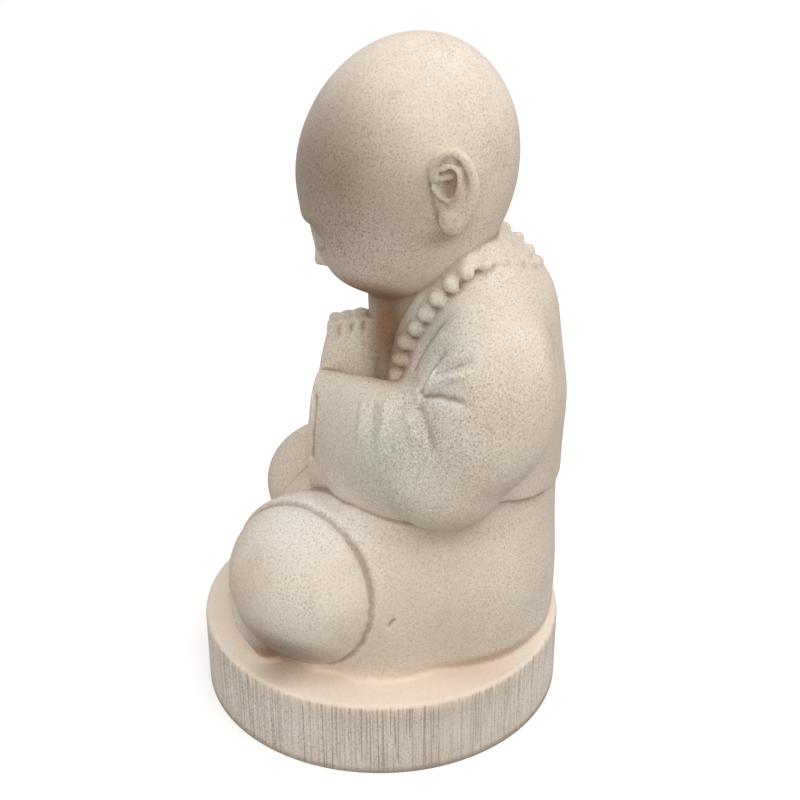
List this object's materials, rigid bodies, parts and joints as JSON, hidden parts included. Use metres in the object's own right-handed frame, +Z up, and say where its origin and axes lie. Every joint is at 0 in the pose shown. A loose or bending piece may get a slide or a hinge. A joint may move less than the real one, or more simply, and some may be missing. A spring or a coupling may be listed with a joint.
{
  "type": "garden statue",
  "caption": "Cast concrete statue of a child monk who sits cross-legged with joined palms on a round combed plinth.",
  "frame": {"origin": "centre of the plinth's flat underside", "axes": "+Z up through the crown, the figure faces -Y, and its left side is +X"},
  "size_m": [0.2222, 0.223, 0.4022],
  "materials": {
    "cast_stone": "matte sandy cast concrete, pale beige, not sealed"
  },
  "bodies": {
    "root": {"praying_monk_statue": "cast_stone"}
  },
  "joints": []
}
